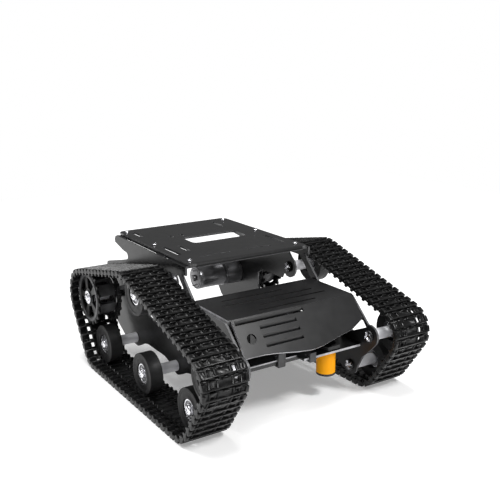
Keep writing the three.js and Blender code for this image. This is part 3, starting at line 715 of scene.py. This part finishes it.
# ---- Hull sheets ---------------------------------------------------------------------------------
SHEET = 2.0                   # thickness of the folded sheets
CUT_WIDTH = 2.3               # wider than the cut face of a sheet, narrower than any other face
NOSE_START = -99              # the nose slope lies in front of this
LINE_FROM = 46.2              # the near part of the bottom plate shows only the strip above this bare, as a painted highlight on the bend
UPPER_DECK_SCREWS = ((-57, 111), (57, 111), (-57, -20), (57, -20), (-57, 48), (57, 48))
SIDE_PLATE_SCREWS = ((-68, 83.5), (-96.5, 74.5))


def clean_copy(node, name):
    """A CAD node's mesh with merged points and whole flat faces, without its stored normals."""
    bm = bmesh.new()
    bm.from_mesh(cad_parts[node].data)
    bmesh.ops.remove_doubles(bm, verts=bm.verts, dist=2e-6)
    bmesh.ops.dissolve_limit(bm, angle_limit=math.radians(0.4), verts=bm.verts, edges=bm.edges)
    bm.verts.index_update()
    points = [tuple(vertex.co) for vertex in bm.verts]
    faces = [[vertex.index for vertex in face.verts] for face in bm.faces]
    bm.free()
    mesh = bpy.data.meshes.new(name)
    mesh.from_pydata(points, [], faces)
    return shade(mesh, 30)


def cut_faces(mesh, shown):
    """Gives the faces that pass the test on centre, normal and width the second material."""
    for polygon in mesh.polygons:
        points = [mesh.vertices[index].co for index in polygon.vertices]
        longest = max((a - b).length for a, b in zip(points, points[1:] + points[:1]))
        if shown(polygon.center / MM, polygon.normal, polygon.area / longest / MM):
            polygon.material_index = 1


def square_nose_edge(mesh):
    """Turns the cut faces along the nose's lower edge square to its slope, as in a sheet that is cut flat."""
    def across_then_back(index):
        point = mesh.vertices[index].co
        return round(point.x / MM, 1), point.y

    slope = max(mesh.polygons, key=lambda polygon: -polygon.normal.y * polygon.area)
    inward = -SHEET * MM * slope.normal
    moved = {}
    for polygon in mesh.polygons:
        faces_down = polygon.normal.z < -0.7 and abs(polygon.normal.y) < 0.05
        if not faces_down or polygon.center.y > NOSE_START * MM:
            continue
        corners = sorted(polygon.vertices, key=across_then_back)
        for outer, inner in zip(corners, corners[1:]):
            gap = (mesh.vertices[inner].co - mesh.vertices[outer].co) / MM
            if abs(gap.x) < 0.05 and gap.y > 1:
                moved[inner] = mesh.vertices[outer].co + inward
    for index, point in moved.items():
        mesh.vertices[index].co = point
    mesh.update()


def split_at_height(mesh, height):
    """Splits the faces at a height, so that a cut face can show a thin bright line, a painted highlight."""
    bm = bmesh.new()
    bm.from_mesh(mesh)
    bmesh.ops.bisect_plane(bm, geom=bm.verts[:] + bm.edges[:] + bm.faces[:], dist=1e-7,
                           plane_co=(0, 0, height * MM), plane_no=(0, 0, 1))
    bm.to_mesh(mesh)
    bm.free()


def sheet_from(node, edge, shown, bevel=0.4, prepare=None):
    """A CAD sheet with clean faces, softened edges and lighter cut faces, which paint a highlight along its
    edges.
    """
    piece = new_object(node + "_sheet", clean_copy(node, node + "_sheet"), "sheet", edge)
    if prepare:
        prepare(piece.data)
    cut_faces(piece.data, shown)
    soften(piece, bevel, segments=2, angle=32.0)
    return settle(piece, "root", "black_sheet", node)


def lower_deck_cut(centre, normal, width):
    """The sides of the deck, and the cut faces along the sides and the lower edge of the nose; they get light
    bare metal, which is also a painted highlight.
    """
    along_edge = abs(centre.x) > 61 or centre.z < max(66, 61 + 0.17 * centre.x)
    return abs(centre.x) > 64 or (width < CUT_WIDTH and along_edge)


def bottom_plate_cut(centre, normal, width):
    """The front cut faces: all of the far part, which steps forward, and a line along the near part, a
    painted highlight on its bend.
    """
    bare = centre.y < -107 or (centre.y < -97 and centre.z > LINE_FROM)
    return width < CUT_WIDTH and normal.y < -0.9 and bare


def upper_deck_cut(centre, normal, width):
    """The cut faces round the deck, and the ones that face down."""
    return width < CUT_WIDTH and (abs(normal.z) < 0.1 or normal.z < -0.9)


def side_plate_cut(centre, normal, width):
    """The cut faces round a side plate and its openings."""
    return width < CUT_WIDTH and abs(normal.x) < 0.1


def hull():
    """The five sheets of the hull, and the screws in the upper deck and the side plates."""
    sheet_from("upper_deck", "sheet_edge_highlight", upper_deck_cut)
    for side_name in SIDES:
        sheet_from("side_plate_" + side_name, "sheet_edge_highlight", side_plate_cut)
    sheet_from("lower_deck", "bare_edge_and_highlight", lower_deck_cut, prepare=square_nose_edge)
    sheet_from("bottom_plate", "bare_edge_and_highlight", bottom_plate_cut,
               prepare=lambda mesh: split_at_height(mesh, LINE_FROM))
    deck_top = box_of("upper_deck")[1].z
    for i, (x, y) in enumerate(UPPER_DECK_SCREWS):
        screw(f"upper_deck_screw_{i + 1}", SMALL_HEAD, (x, y, deck_top), Matrix.Rotation(0.6 * i, 4, "Z"),
              "root", "bright_metal")
    for side_name, side in SIDES.items():
        plate_face = max(abs(edge.x) for edge in box_of("side_plate_" + side_name))
        for i, (y, z) in enumerate(SIDE_PLATE_SCREWS):
            screw(f"side_plate_{side_name}_screw_{i + 1}", SMALL_HEAD, (side * plate_face, y, z),
                  facing(side), "root", "bright_metal")


# ---- Sensor, battery and clips -------------------------------------------------------------------
PLATE_UNDER_NUT = 2.9         # from the nut down to the top of the yellow barrel, past the bottom plate
SENSOR_LIP = 2.2              # height of the black ring round the sensor's face
THREAD_PITCH = 1.0
THREAD_DEPTH = 0.45


def standing(name, profile, x, y, material, bevel, segments=ROUND):
    """A piece turned round an upright line at (x, y)."""
    piece = new_object(name, turned_mesh(name, profile, segments), material)
    piece.matrix_world = Matrix.Translation((x * MM, y * MM, 0))
    return soften(piece, bevel)


def proximity_sensor():
    """The yellow barrel with its face, the threaded rear above the bottom plate, and the nut."""
    low, high = box_of("proximity_sensor")
    middle = centre_of("proximity_sensor")
    x, y, radius = middle.x, middle.y, (high.x - low.x) / 2
    nut_low, nut_high = box_of("sensor_nut")
    collar = nut_low.z - PLATE_UNDER_NUT
    barrel = standing("sensor_barrel", [
        (0, low.z + SENSOR_LIP), (radius, low.z + SENSOR_LIP), (radius, collar), (0, collar),
    ], x, y, "yellow", bevel=0.12)
    settle(barrel, "root", "sensor_yellow", "proximity_sensor")
    thread_end = high.z - 5.4
    count = int(2 * (thread_end - collar) / THREAD_PITCH)
    thread = [(radius - THREAD_DEPTH * (i % 2), collar + i * THREAD_PITCH / 2) for i in range(count)]
    rear = standing("sensor_rear", [
        (0, collar), *thread, (radius - 0.6, thread_end), (radius - 3, thread_end + 1.0),
        (radius - 3, high.z - 1.2), (radius - 4.2, high.z), (0, high.z),
    ], x, y, "threaded_black", bevel=0.12)
    settle(rear, "root", "black_plastic")
    tip = standing("sensor_face", [
        (0, low.z + 0.35), (radius - 2.0, low.z + 0.35), (radius - 1.6, low.z), (radius - 0.3, low.z),
        (radius + 0.05, low.z + 0.4), (radius + 0.05, low.z + SENSOR_LIP), (0, low.z + SENSOR_LIP),
    ], x, y, "black_plastic", bevel=0.15)
    settle(tip, "root", "black_plastic")
    inner, outer = radius + 0.15, radius + 4.4
    nut = standing("sensor_nut_hexagon", [
        (inner, nut_low.z), (outer, nut_low.z), (outer, nut_high.z), (inner, nut_high.z),
    ], x, y, "black_plastic", bevel=0.35, segments=6)
    nut.data.shade_flat()
    settle(nut, "root", "black_plastic", "sensor_nut")


def carried(node, name, material, slot, bevel):
    """A CAD solid with softened edges."""
    piece = soften(new_object(name, clean_copy(node, name), material), bevel, segments=3)
    return settle(piece, "root", slot, node)


# ---- The whole chassis ---------------------------------------------------------------------------
hull()
proximity_sensor()
carried("battery_pack", "battery_pack_wrap", "wrap", "battery_wrap", 1.6)
for number in (1, 2):
    carried(f"edge_clip_{number}", f"edge_clip_{number}_body", "clip", "black_plastic", 0.3)
for side_label, sign in SIDES.items():
    track(side_label, sign)
    for wheel_name in WHEELS:
        wheel(wheel_name, side_label, sign)
    sprocket(side_label, sign)
    gear_motor(side_label, sign)


# ---- Stage, light and camera ---------------------------------------------------------------------
def stage_floor():
    """A pale matt floor."""
    bm = bmesh.new()
    bmesh.ops.create_grid(bm, x_segments=1, y_segments=1, size=1.0)
    floor = linked("floor", mesh_from(bm, "floor"))
    paint = bpy.data.materials.new("pale_floor")
    paint.use_nodes = True
    shader = paint.node_tree.nodes["Principled BSDF"]
    shader.inputs["Base Color"].default_value = (0.80, 0.80, 0.80, 1.0)
    shader.inputs["Emission Color"].default_value = (1.0, 1.0, 1.0, 1.0)
    shader.inputs["Emission Strength"].default_value = 0.28
    shader.inputs["Roughness"].default_value = 0.9
    shader.inputs["Specular IOR Level"].default_value = 0.1
    floor.data.materials.append(paint)


def area_light(name, location, target, size, power):
    """A rectangular panel that faces a target."""
    data = bpy.data.lights.new(name, "AREA")
    data.shape = "RECTANGLE"
    data.size, data.size_y = size
    data.energy = power
    light = linked(name, data)
    light.location = location
    light.rotation_euler = (Vector(target) - Vector(location)).to_track_quat("-Z", "Y").to_euler()


def studio():
    """A white surround that lights less than it shows, one broad sun, and panels for the highlights."""
    world = bpy.data.worlds.new("studio")
    bpy.context.scene.world = world
    world.use_nodes = True
    nodes, links = world.node_tree.nodes, world.node_tree.links
    background = nodes["Background"]
    background.inputs["Color"].default_value = (1.0, 1.0, 1.0, 1.0)
    seen = nodes.new("ShaderNodeLightPath")
    strength = nodes.new("ShaderNodeMapRange")
    strength.inputs["To Min"].default_value = 0.18
    strength.inputs["To Max"].default_value = 1.0
    links.new(seen.outputs["Is Camera Ray"], strength.inputs["Value"])
    links.new(strength.outputs["Result"], background.inputs["Strength"])
    data = bpy.data.lights.new("sun", "SUN")
    data.energy = 3.0
    data.angle = math.radians(35)
    sun = linked("sun", data)
    sun.rotation_euler = Vector((0.12, -0.10, -1.0)).to_track_quat("-Z", "Y").to_euler()
    area_light("key", (-1.0, -0.6, 1.0), (0, 0, 0.05), (0.5, 0.5), 2.0)
    area_light("front_right", (0.25, -0.70, 0.92), (-0.05, -0.107, 0.076), (0.16, 0.26), 9.0)


def camera():
    """The camera, at the viewpoint that the chassis is seen from."""
    data = bpy.data.cameras.new("photo_view")
    data.sensor_width = 36.0
    data.lens = 53.8
    data.clip_start, data.clip_end = 0.01, 50.0
    holder = linked("photo_view", data)
    holder.location = (-0.3583, -0.5716, 0.2923)
    holder.rotation_euler = Vector((0.5335, 0.8085, -0.2486)).to_track_quat("-Z", "Y").to_euler()
    bpy.context.scene.camera = holder


stage_floor()
studio()
camera()
bpy.context.scene.view_settings.view_transform = "Standard"
